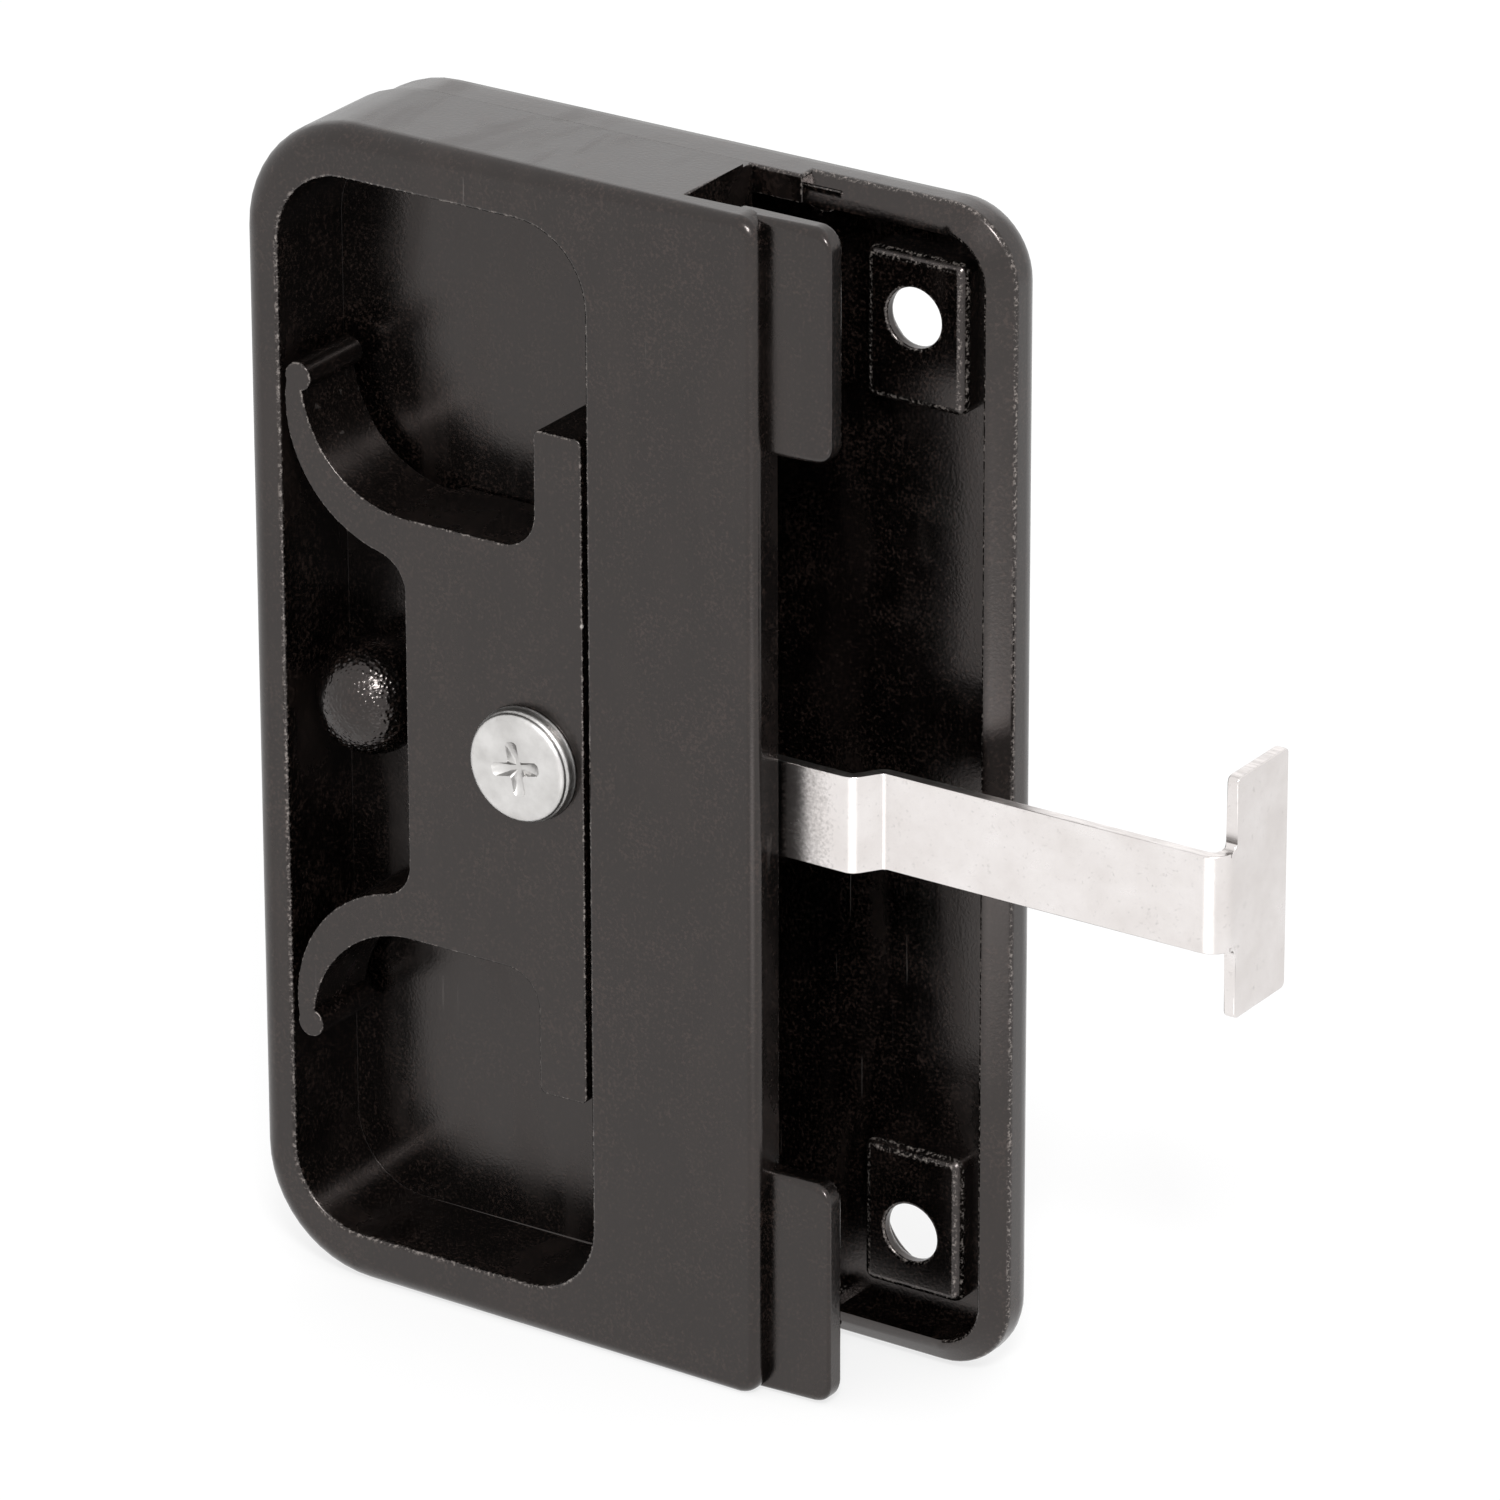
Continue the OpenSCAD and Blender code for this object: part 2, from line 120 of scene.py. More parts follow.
def mixColours(tree, amount, first, second):
    node = addNode(tree, "ShaderNodeMix", data_type="RGBA")
    for socket, value in ((node.inputs[0], amount), (node.inputs[6], first), (node.inputs[7], second)):
        if isinstance(value, (tuple, float, int)):
            socket.default_value = value
        else:
            joinNodes(tree, (value, socket))
    return node.outputs[2]


def splitAxes(tree, vector):
    node = addNode(tree, "ShaderNodeSeparateXYZ")
    joinNodes(tree, (vector, node.inputs[0]))
    return node.outputs


def pick(settings, *names):
    return [settings[name] for name in names]


def scratchMask(tree, coordinates, look):
    # hairline scratches, kept to a few patches
    lines = noiseAt(
        tree, coordinates, look["scratchScale"], detail=1.0, roughness=0.4, stretch=look["scratchStretch"],
        turn=look["scratchTurn"], warp=0.6)
    patches = noiseAt(tree, coordinates, look["patchScale"], detail=1.0)
    return times(tree, remap(tree, lines, look["scratchSpan"]), remap(tree, patches, look["patchSpan"]))


def smearMask(tree, coordinates, look):
    # smears left by wiping, as wide curved bands
    bands = noiseAt(
        tree, coordinates, look["smearScale"], detail=1.5, roughness=0.4, stretch=look["smearStretch"],
        turn=look["smearTurn"], warp=2.5)
    return remap(tree, bands, look["smearSpan"], 0.0, look["smearShare"])


def dustMask(tree, coordinates, look):
    # a speck in the middle of a few cells of a pattern
    cells = addNode(tree, "ShaderNodeTexVoronoi", {"Scale": look["dustScale"]})
    chance = addNode(tree, "ShaderNodeSeparateColor")
    joinNodes(tree, (coordinates, cells.inputs["Vector"]), (cells.outputs["Color"], chance.inputs[0]))
    speck = remap(tree, cells.outputs["Distance"], look["dustSpan"], 1.0, 0.0)
    return times(tree, speck, remap(tree, chance.outputs[0], look["dustChance"]))


# painted highlight: the middle of each rounded edge is lighter, in broken specks
def wearMask(tree, coordinates, look):
    # rubbed edges, brighter in broken specks
    edges = addNode(tree, "ShaderNodeAttribute", attribute_name="roundGlint").outputs["Fac"]
    specks = noiseAt(tree, coordinates, look["wearScale"], detail=3.0, roughness=0.7)
    return times(tree, edges, remap(tree, specks, look["wearSpan"]))


def mouldedPlastic(name, look):
    material, tree = newMaterial(name)
    coordinates = addNode(tree, "ShaderNodeTexCoord").outputs["Object"]
    shader = addNode(tree, "ShaderNodeBsdfPrincipled", {"IOR": look["ior"], "Specular Tint": look["tint"]})
    output = addNode(tree, "ShaderNodeOutputMaterial")
    mottle = noiseAt(tree, coordinates, look["mottleScale"], detail=4.0)
    grain = noiseAt(tree, coordinates, look["grainScale"], detail=2.5, roughness=0.6)
    tone = plus(tree, times(tree, mottle, look["mottleShare"]), times(tree, grain, look["grainShare"]))
    streaks = noiseAt(
        tree, coordinates, look["streakScale"], detail=2.0, roughness=0.5, stretch=look["streakStretch"])
    scratched = scratchMask(tree, coordinates, look)
    smeared = smearMask(tree, coordinates, look)
    dust = dustMask(tree, coordinates, look)
    glinted = wearMask(tree, coordinates, look)
    base = mixColours(tree, remap(tree, tone, look["toneSpan"]), look["dark"], look["light"])
    base = mixColours(tree, times(tree, streaks, look["streakShare"]), base, look["streak"])
    base = mixColours(tree, smeared, base, look["streak"])
    base = mixColours(tree, times(tree, scratched, look["scratchShare"]), base, look["scratch"])
    # painted highlight along the rounded edges, in broken specks
    base = mixColours(tree, times(tree, glinted, look["wearShare"]), base, look["glinted"])
    base = mixColours(tree, dust, base, look["dust"])
    rough = remap(tree, mottle, look["roughSpan"], look["roughLow"], look["roughHigh"])
    rough = plus(tree, rough, times(tree, grain, look["grainRough"]))
    rough = plus(tree, rough, times(tree, smeared, look["smearRough"]))
    bump = addNode(tree, "ShaderNodeBump", {"Strength": 1.0, "Distance": look["grainDepth"]})
    swell = addNode(tree, "ShaderNodeBump", {"Strength": 1.0, "Distance": look["swellDepth"]})
    swellNoise = noiseAt(
        tree, coordinates, look["swellScale"], detail=2.0, roughness=0.5, stretch=look["swellStretch"])
    joinNodes(
        tree,
        (base, shader.inputs["Base Color"]), (rough, shader.inputs["Roughness"]),
        (swellNoise, swell.inputs["Height"]), (grain, bump.inputs["Height"]),
        (swell.outputs["Normal"], bump.inputs["Normal"]), (bump.outputs["Normal"], shader.inputs["Normal"]),
        (shader.outputs["BSDF"], output.inputs["Surface"]),
    )
    return material


def brightMetal(name, look):
    material, tree = newMaterial(name)
    coordinates = addNode(tree, "ShaderNodeTexCoord").outputs["Object"]
    shader = addNode(tree, "ShaderNodeBsdfPrincipled", {"Metallic": 1.0})
    output = addNode(tree, "ShaderNodeOutputMaterial")
    clouds = noiseAt(tree, coordinates, look["cloudScale"], detail=4.0)
    stains = noiseAt(tree, coordinates, look["stainScale"], detail=3.0, roughness=0.6)
    grain = noiseAt(
        tree, coordinates, look["grainScale"], detail=3.0, roughness=0.6, stretch=look["grainStretch"])
    # sheared edges of the sheet face up and down, and are rougher and greyer
    facing = splitAxes(tree, addNode(tree, "ShaderNodeNewGeometry").outputs["Normal"])
    sheared = remap(tree, combine(tree, "ABSOLUTE", facing["Z"]), look["shearSpan"], 0.0, look["shearShare"])
    greyed = times(tree, sheared, remap(tree, grain, look["tornSpan"], 1.0, look["tornLeast"]))
    # painted shade where the strip leaves the latch and the front plate blocks its reflection; it fades to
    # the right with a grainy edge
    fromLeft = splitAxes(tree, coordinates)["X"]
    inward = remap(tree, fromLeft, (look["shadeFrom"] * mm, look["shadeTo"] * mm), 1.0, 0.0)
    speckle = noiseAt(tree, coordinates, look["speckleScale"], detail=2.0, roughness=0.6)
    patch = plus(tree, inward, times(tree, speckle, look["speckleShare"]))
    shadeBand = remap(tree, patch, look["shadeSpan"], 0.0, look["shadeShare"])
    stained = remap(tree, stains, look["stainSpan"], 0.0, look["stainShare"])
    base = mixColours(tree, remap(tree, clouds, look["cloudSpan"]), look["dark"], look["light"])
    base = mixColours(tree, stained, base, look["stain"])
    base = mixColours(tree, greyed, base, look["greyed"])
    # painted shade, in the same dark grey as the sheared edges
    base = mixColours(tree, shadeBand, base, look["greyed"])
    rough = remap(tree, clouds, look["roughSpan"], look["roughLow"], look["roughHigh"])
    rough = plus(tree, rough, times(tree, grain, look["grainRough"]))
    rough = plus(tree, rough, times(tree, sheared, look["shearRough"]))
    bump = addNode(tree, "ShaderNodeBump", {"Strength": 1.0, "Distance": look["grainDepth"]})
    joinNodes(
        tree,
        (base, shader.inputs["Base Color"]), (rough, shader.inputs["Roughness"]),
        (grain, bump.inputs["Height"]), (bump.outputs["Normal"], shader.inputs["Normal"]),
        (shader.outputs["BSDF"], output.inputs["Surface"]),
    )
    return material


# scales are repeats per metre, depths are metres, and a span is the part of a noise that is used
housingLook = {
    "ior": 1.62, "tint": (1.0, 0.90, 0.865, 1),
    "dark": (0.0002, 0.0002, 0.0002, 1), "light": (0.017, 0.011, 0.009, 1),
    "streak": (0.010, 0.007, 0.006, 1), "scratch": (0.10, 0.09, 0.085, 1),
    # the third colour below is the painted highlight on rounded edges
    "glinted": (0.30, 0.27, 0.25, 1), "dust": (0.34, 0.32, 0.30, 1),
    "mottleScale": 260.0, "mottleShare": 0.25, "grainScale": 3600.0, "grainShare": 0.75,
    "toneSpan": (0.52, 0.64), "streakScale": 1500.0, "streakStretch": (1, 1, 0.04), "streakShare": 0.15,
    "scratchScale": 260.0, "scratchStretch": (16, 5, 0.5), "scratchTurn": 52, "scratchSpan": (0.74, 0.77),
    "scratchShare": 0.4, "patchScale": 48.0, "patchSpan": (0.58, 0.70),
    "smearScale": 60.0, "smearStretch": (1.6, 1, 0.5), "smearTurn": 35, "smearSpan": (0.50, 0.72),
    "smearShare": 0.4, "smearRough": 0.25,
    # speck size, used part of the noise and strength of the painted edge highlight
    "wearScale": 3600.0, "wearSpan": (0.50, 0.66), "wearShare": 0.75,
    "dustScale": 380.0, "dustSpan": (0.05, 0.09), "dustChance": (0.984, 0.990),
    "roughSpan": (0.3, 0.7), "roughLow": 0.17, "roughHigh": 0.23, "grainRough": 0.05, "grainDepth": 0.000012,
    "swellScale": 170.0, "swellStretch": (1, 1, 0.5), "swellDepth": 0.00002,
}
plateLook = dict(housingLook, ior=1.66, roughLow=0.14, roughHigh=0.21)
slideLook = dict(housingLook, streakShare=0.3, roughLow=0.20, roughHigh=0.26, dustScale=460.0, smearShare=0.2)
pebbleLook = dict(housingLook, roughLow=0.17, roughHigh=0.22, wearShare=0.0, smearShare=0.0)
stripLook = {
    "dark": (0.80, 0.755, 0.735, 1), "light": (0.89, 0.85, 0.835, 1), "stain": (0.52, 0.49, 0.47, 1),
    "greyed": (0.30, 0.28, 0.27, 1), "tornSpan": (0.42, 0.58), "tornLeast": 0.35,
    "shearSpan": (0.75, 0.9), "shearShare": 0.45, "shearRough": 0.2,
    # painted shade on the strip where it leaves the latch
    "shadeFrom": -5.5, "shadeTo": -0.5, "shadeSpan": (0.75, 1.45), "shadeShare": 0.9,  # from and to in mm
    "speckleScale": 3000.0, "speckleShare": 1.2,
    "cloudScale": 240.0, "cloudSpan": (0.35, 0.65),
    "stainScale": 900.0, "stainSpan": (0.66, 0.74), "stainShare": 0.3,
    "grainScale": 2600.0, "grainStretch": (0.12, 1, 1), "grainRough": 0.08, "grainDepth": 0.00001,
    "roughSpan": (0.3, 0.7), "roughLow": 0.16, "roughHigh": 0.24,
}
screwLook = dict(
    stripLook, dark=(0.62, 0.605, 0.59, 1), light=(0.78, 0.765, 0.75, 1), cloudScale=420.0,
    grainStretch=(1, 1, 1), stainShare=0.6, shearShare=0.0, shadeShare=0.0, roughLow=0.28, roughHigh=0.38,
    grainDepth=0.00003)

plasticFinish = mouldedPlastic("housingPlastic", housingLook)
plateFinish = mouldedPlastic("platePlastic", plateLook)
slideFinish = mouldedPlastic("slidePlastic", slideLook)
pebbleFinish = mouldedPlastic("pebbledPlastic", pebbleLook)
stripFinish = brightMetal("rolledStrip", stripLook)
screwFinish = brightMetal("zincPlate", screwLook)
print("stage: finishes made")


def addObject(name, data):
    item = bpy.data.objects.new(name, data)
    bpy.context.scene.collection.objects.link(item)
    return item


def bakeShape(piece):
    baked = bpy.data.meshes.new_from_object(piece.evaluated_get(bpy.context.evaluated_depsgraph_get()))
    piece.modifiers.clear()
    piece.data = baked


def placePiece(piece, finish, slotName, bodyName, nodeName=None):
    piece.data.materials.clear()
    piece.data.materials.append(finish)
    for face in piece.data.polygons:
        face.use_smooth = True
    if nodeName:
        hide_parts(nodeName)
    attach(piece, bodyName)
    print("  ", piece.name, len(piece.data.polygons), "faces")


# how the edges of a solid's mesh are rounded
rounding = {
    "weld": 0.004,  # points closer than this, in mm, are one
    "planeAngle": 0.5,  # faces that turn less than this, in degrees, are one flat region
    "edgeAngle": 30,  # outer edges that turn more than this are rounded
    "smoothAngle": 32,  # regions that turn less than this at a corner share a normal there
    "smoothRatio": 5,  # unless the largest is more than this many times the next
    "arcShare": 0.41,  # how far a round's middle lies from its chord towards the old edge
    "slideTurn": 0.2, "meetTurn": 0.35,  # least sine of the turn at a corner for its points to slide or meet
    "leastLength": 0.12, "mostShift": 3,  # least share of an edge that is left, and most shift in widths
    "shrink": 0.6, "leastWidth": 0.15, "widthTries": 16, "dropAfter": 12,  # a width that doesn't fit shrinks
    "buildTries": 10, "taperTries": 3,
}


def planeRegions(shape):
    # faces that touch and lie in one plane make one region
    owner, regions = {}, []
    flatness = math.cos(math.radians(rounding["planeAngle"]))
    for seed in sorted(shape.faces, key=lambda face: (-round(face.calc_area() * 1e12), face.index)):
        if seed in owner:
            continue
        owner[seed] = len(regions)
        waiting, area = [seed], 0.0
        while waiting:
            face = waiting.pop()
            area += face.calc_area()
            for edge in face.edges:
                for other in edge.link_faces:
                    if other not in owner and other.normal.dot(seed.normal) > flatness:
                        owner[other] = len(regions)
                        waiting.append(other)
        regions.append((seed.normal.copy(), area))
    return owner, regions


def triangleLinks(triangle):
    return [frozenset((triangle[place - 1], triangle[place])) for place in range(3)]


def insideTriangles(triangles, spots, walls, flat, rims):
    # the largest triangle says which side of the outline is inside, and the others follow from it
    def size(triangle):
        one, two, three = (spots[corner] for corner in triangle)
        return abs((two - one).cross(three - one))

    beside = {}
    for triangle in triangles:
        for link in triangleLinks(triangle):
            beside.setdefault(link, []).append(triangle)
    first = max(triangles, key=size)
    centre = sum((spots[corner] for corner in first), Vector((0, 0))) / 3
    inside = False
    for one, two in rims:
        p, q = flat[one], flat[two]
        crosses = (p.y > centre.y) != (q.y > centre.y)
        if crosses and centre.x < p.x + (centre.y - p.y) * (q.x - p.x) / (q.y - p.y):
            inside = not inside
    known, waiting = {tuple(first): inside}, [first]
    while waiting:
        triangle = waiting.pop()
        for link in triangleLinks(triangle):
            for other in beside[link]:
                if tuple(other) not in known:
                    known[tuple(other)] = known[tuple(triangle)] != (link in walls)
                    waiting.append(other)
    return known


def regionTriangles(normal, loops, places):
    # fills a flat region between its outlines; the triangles' corners are corners of the outlines
    across = normal.orthogonal().normalized()
    upward = normal.cross(across)
    corners = [corner for loop in loops for corner in loop]
    spread = [places[corner[0]] for corner in corners]
    flat = [Vector((place.dot(across), place.dot(upward))) / mm for place in spread]
    rims, start = [], 0
    for loop in loops:
        rims += [(start + place, start + (place + 1) % len(loop)) for place in range(len(loop))]
        start += len(loop)
    spots, links, triangles, sources, linkSources = delaunay_2d_cdt(flat, rims, [], 0, 1e-6)[:5]
    walls = {frozenset(link) for link, found in zip(links, linkSources) if found}
    inside = insideTriangles(triangles, spots, walls, flat, rims)
    for triangle in triangles:
        if inside.get(tuple(triangle)) and all(sources[corner] for corner in triangle):
            yield [corners[sources[corner][0]] for corner in triangle]


class MeshDraft:
    # a mesh in the making; a point is known by its key, and a corner is a point's number and its normal
    def __init__(self):
        self.index, self.places, self.wear, self.faces, self.normals = {}, [], [], [], []

    # a point in the middle of a round is marked for the painted edge highlight
    def addPoint(self, key, place, glinted=0.0):
        if key not in self.index:
            self.index[key] = len(self.places)
            self.places.append(place.copy())
            self.wear.append(glinted)
        return self.index[key]

    def addFace(self, corners):
        # double corners and folds of no width drop out
        cleaned = [corner for place, corner in enumerate(corners) if corner[0] != corners[place - 1][0]]
        while len(cleaned) > 2:
            count = len(cleaned)
            after = cleaned[1:] + cleaned[:1]
            fold = next((place for place in range(count) if cleaned[place - 1][0] == after[place][0]), None)
            if fold is None:
                break
            dropped = (fold, (fold + 1) % count)
            cleaned = [corner for place, corner in enumerate(cleaned) if place not in dropped]
        if len(cleaned) > 2:
            self.faces.append([corner[0] for corner in cleaned])
            self.normals.extend(corner[1] for corner in cleaned)

    def finished(self, name):
        mesh = bpy.data.meshes.new(name)
        mesh.from_pydata([tuple(place) for place in self.places], [], self.faces)
        # each point says whether the painted edge highlight lies on it
        mesh.attributes.new("roundGlint", "FLOAT", "POINT").data.foreach_set("value", self.wear)
        for face in mesh.polygons:
            face.use_smooth = True
        mesh.normals_split_custom_set([tuple(normal) for normal in self.normals])
        return mesh


class RoundedEdges:
    # rounds the outer edges of a closed mesh of flat regions, each region drawn in by its own offset lines
    # a side is one edge of a region's outline, and edges of regions smaller than sliver stay as they are
    def __init__(self, shape, wanted, sliver):
        self.owner, self.regions = planeRegions(shape)
        self.sides = [loop for face in shape.faces for loop in face.loops if self.isSide(loop)]
        self.after = {side: self.following(side) for side in self.sides}
        self.before = {after: side for side, after in self.after.items()}
        self.wanted = wanted
        self.width = {}
        angle = math.radians(rounding["edgeAngle"])
        for side in self.sides:
            edge = side.edge
            smallest = min(self.regions[self.owner[face]][1] for face in edge.link_faces)
            outer = edge.is_manifold and edge.is_convex and edge.calc_face_angle(0.0) > angle
            if outer and smallest >= sliver:
                self.width[edge] = wanted
        self.frozen = set()
        self.fitWidths()

    def fitWidths(self):
        for attempt in range(rounding["widthTries"]):
            self.slideCorners()
            tight = self.tightCorners()
            if not tight:
                break
            for corner in tight:
                for edge in corner.link_edges:
                    self.narrow(edge, attempt > rounding["dropAfter"])

    def narrow(self, edge, drop):
        if edge in self.width:
            self.width[edge] *= rounding["shrink"]
            if drop or self.width[edge] < rounding["leastWidth"] * self.wanted:
                del self.width[edge]

    def keepSharp(self, faults, reach, whole):
        # edges near a fault of the new mesh taper out, or stay sharp over their whole length
        for side in self.sides:
            if any((side.vert.co - fault).length < reach for fault in faults):
                self.frozen.add(side.vert)
                if whole:
                    for edge in side.vert.link_edges:
                        self.width.pop(edge, None)
        self.fitWidths()

    def isSide(self, loop):
        return self.owner[loop.face] != self.owner[loop.link_loop_radial_next.face]

    def following(self, side):
        step = side.link_loop_next
        while not self.isSide(step):
            step = step.link_loop_radial_next.link_loop_next
        return step

    def normal(self, side):
        return self.regions[self.owner[side.face]][0]

    def along(self, side):
        return (side.link_loop_next.vert.co - side.vert.co).normalized()

    def turn(self, side):
        return self.normal(side).dot(self.along(side).cross(self.along(self.after[side])))

    def widths(self, side):
        return self.width.get(side.edge, 0.0), self.width.get(self.after[side].edge, 0.0)

    def slideCorners(self):
        # a point on an edge that stays sharp slides along it, by one distance for both regions beside it
        self.slide = {}
        for side in self.sides:
            after = self.after[side]
            first, second = self.widths(side)
            if (first > 0) == (second > 0) or after.vert in self.frozen:
                continue
            turn = self.turn(side)
            if turn < rounding["slideTurn"]:
                self.frozen.add(after.vert)
                continue
            key = (after.vert, after.edge if first > 0 else side.edge)
            self.slide[key] = max(self.slide.get(key, 0.0), (first + second) / turn)

    def corner(self, side):
        # new points of the corner at the end of a side, in the order of the region's outline
        after = self.after[side]
        vert = after.vert
        if vert in self.frozen:
            return [(("kept", vert), vert.co)]
        first, second = self.widths(side)
        incoming, outgoing = self.along(side), self.along(after)
        if first > 0 and second > 0:
            turn = self.turn(side)
            if abs(turn) < rounding["meetTurn"]:
                normal = self.normal(side)
                inward = (normal.cross(incoming) + normal.cross(outgoing)).normalized()
                return [(("own", side), vert.co + inward * (first + second) / 2)]
            return [(("own", side), vert.co - incoming * (second / turn) + outgoing * (first / turn))]
        points = []
        back, ahead = self.slide.get((vert, side.edge), 0.0), self.slide.get((vert, after.edge), 0.0)
        if first == 0 and back > 0:
            points.append((("slid", vert, side.edge), vert.co - incoming * back))
        if second == 0 and ahead > 0:
            points.append((("slid", vert, after.edge), vert.co + outgoing * ahead))
        if first == second == 0 and (back == 0) != (ahead == 0):
            points.insert(0 if back == 0 else 1, (("kept", vert), vert.co))
        return points or [(("kept", vert), vert.co)]

    def tightCorners(self):
        self.corners = {side: self.corner(side) for side in self.sides}
        tight = set()
        for side in self.sides:
            start, end = self.corners[self.before[side]][-1][1], self.corners[side][0][1]
            length = (side.link_loop_next.vert.co - side.vert.co).length
            if (end - start).dot(self.along(side)) < rounding["leastLength"] * length:
                tight.update((side.vert, side.link_loop_next.vert))
            for key, point in self.corners[side]:
                if (point - self.after[side].vert.co).length > rounding["mostShift"] * self.wanted:
                    tight.add(self.after[side].vert)
        return {vert for vert in tight if any(edge in self.width for edge in vert.link_edges)}

    def clusterNormal(self, side):
        # regions that meet smoothly at a corner share a normal; a much larger one keeps its own
        start, members = side, {}
        smooth = math.cos(math.radians(rounding["smoothAngle"]))
        for forwards in (True, False):
            step = start
            while True:
                number = self.owner[step.face]
                members[number] = self.regions[number]
                if forwards:
                    following = self.after[step].link_loop_radial_next
                    crossed = self.after[step].edge
                else:
                    following = self.before.get(step.link_loop_radial_next)
                    crossed = step.edge
                if following is None or following not in self.after or crossed in self.width:
                    break
                if self.normal(following).dot(self.regions[number][0]) < smooth:
                    break
                step = following
                if step is start:
                    break
        ranked = sorted(members.values(), key=lambda region: -region[1])
        if len(ranked) == 1 or ranked[0][1] > rounding["smoothRatio"] * ranked[1][1]:
            return ranked[0][0]
        total = Vector((0, 0, 0))
        for normal, area in ranked:
            total += normal * area
        return total.normalized()

    def middle(self, side):
        # corner at the start of a rounded side, on the arc between its two regions
        here, there = self.points[self.before[side]][-1], self.points[side.link_loop_radial_next][0]
        chord = (self.draft.places[here[0]] + self.draft.places[there[0]]) / 2
        along = self.along(side)
        apex = side.vert.co + along * (chord - side.vert.co).dot(along)
        key = ("arc", side.vert, frozenset((here[0], there[0])))
        place = chord.lerp(apex, rounding["arcShare"])
        # the middle of the arc carries the painted edge highlight
        return self.draft.addPoint(key, place, 1.0), (here[1] + there[1]).normalized()

    def addRounds(self):
        # two strips along each rounded edge, one on each side of the middle of its arc
        for side in self.sides:
            twin = side.link_loop_radial_next
            if side.edge not in self.width or side.edge.link_loops[0] != side:
                continue
            start, end = self.points[self.before[side]][-1], self.points[side][0]
            farStart, farEnd = self.points[twin][0], self.points[self.before[twin]][-1]
            midStart, midEnd = self.middle(side), self.middle(twin)
            if side.vert in self.frozen:
                midStart = start
            if twin.vert in self.frozen:
                midEnd = end
            self.draft.addFace([end, start, midStart, midEnd])
            self.draft.addFace([midEnd, midStart, farStart, farEnd])

    def addCorners(self):
        done = set()
        for first in self.sides:
            if first in done or self.after[first].vert in self.frozen:
                continue
            ring, side = [], first
            while side not in done:
                done.add(side)
                ring += self.points[side]
                after = self.after[side]
                if after.edge in self.width:
                    ring.append(self.middle(after))
                side = after.link_loop_radial_next
            self.draft.addFace(ring[::-1])

    def addRegions(self):
        outlines, done = {}, set()
        for first in self.sides:
            outline, side = [], first
            while side not in done:
                done.add(side)
                outline += self.points[side]
                side = self.after[side]
            if outline:
                outlines.setdefault(self.owner[first.face], []).append(outline)
        for region, loops in outlines.items():
            if len(loops) == 1 and len(loops[0]) <= 4:
                self.draft.addFace(loops[0])
            else:
                for triangle in regionTriangles(self.regions[region][0], loops, self.draft.places):
                    self.draft.addFace(triangle)

    def build(self, name):
        self.draft, self.points = MeshDraft(), {}
        for side in self.sides:
            normal = self.clusterNormal(side)
            numbers = [self.draft.addPoint(key, place) for key, place in self.corners[side]]
            self.points[side] = [(number, normal) for number in numbers]
        self.addRounds()
        self.addCorners()
        self.addRegions()
        return self.draft.finished(name)


def meshFaults(mesh):
    shape = bmesh.new()
    shape.from_mesh(mesh)
    faulty = [edge for edge in shape.edges if not edge.is_manifold or not edge.is_contiguous]
    faults = [vert.co.copy() for edge in faulty for vert in edge.verts]
    shape.free()
    return faults


# where the real moulding is crisper than the solid, in mm; heights are towards the door
moulding = {
    # foot of the tub's walls
    "tubLeft": -49.6, "tubRight": -21.1, "tubHalf": 44.5, "tubCorner": 6.3, "tubFloor": 4.4,
    "floorRound": 1.0, "floorKeep": 0.015,  # keep is the share of a round that is left
    # right end of the front plate
    "frontFrom": -8.35, "frontTo": -6.25, "frontBack": 9.5, "frontShift": 0.65,
    # right edge of the tabs
    "tabLeft": -30.0, "tabRight": 1.2, "tabCorner": 1.8, "tabMiddle": 39.05, "tabHalf": 9.45,
    "tabFront": 11.4, "tabRound": 0.8, "tabKeep": 0.35, "tabShift": -1.2,
    "slack": 0.02, "arcSlack": 0.03, "edgeSlack": 0.05, "least": 1e-4,
}


def outwardFrom(x, z, left, right, half, corner):
    # from the nearest point of a rounded outline's core, which is the outline drawn in by its corner
    nearX = min(max(x, left + corner), right - corner)
    nearZ = min(max(z, corner - half), half - corner)
    return Vector((x - nearX, z - nearZ))


def withinRound(distance, size):
    return -moulding["slack"] < distance < size + moulding["slack"]


def footShift(x, height, z):
    # draws the round between the tub's wall and floor into their corner
    size = moulding["floorRound"]
    outward = outwardFrom(x, z, *pick(moulding, "tubLeft", "tubRight", "tubHalf", "tubCorner"))
    inset, rise = moulding["tubCorner"] - outward.length, height - moulding["tubFloor"]
    onArc = abs(math.hypot(size - inset, size - rise) - size) < moulding["arcSlack"]
    if outward.length > moulding["least"] and withinRound(inset, size) and withinRound(rise, size) and onArc:
        moved = outward.normalized() * inset * (1 - moulding["floorKeep"])
        return Vector((moved.x, rise * (1 - moulding["floorKeep"]), moved.y))
    return Vector((0, 0, 0))


def tabShift(x, height, z):
    # draws the round at a tab's front edge in where it faces right
    middle = math.copysign(moulding["tabMiddle"], z)
    outward = outwardFrom(x, z - middle, *pick(moulding, "tabLeft", "tabRight", "tabHalf", "tabCorner"))
    inset, drop = moulding["tabCorner"] - outward.length, moulding["tabFront"] - height
    near = inset < moulding["tabRound"] + moulding["slack"] and withinRound(drop, moulding["tabRound"])
    if outward.length > moulding["least"] and near:
        sideways = outward.normalized()
        share = (1 - moulding["tabKeep"]) * sideways.x ** 2
        moved = sideways * inset * share
        return Vector((moved.x, -drop * share, moved.y))
    return Vector((0, 0, 0))


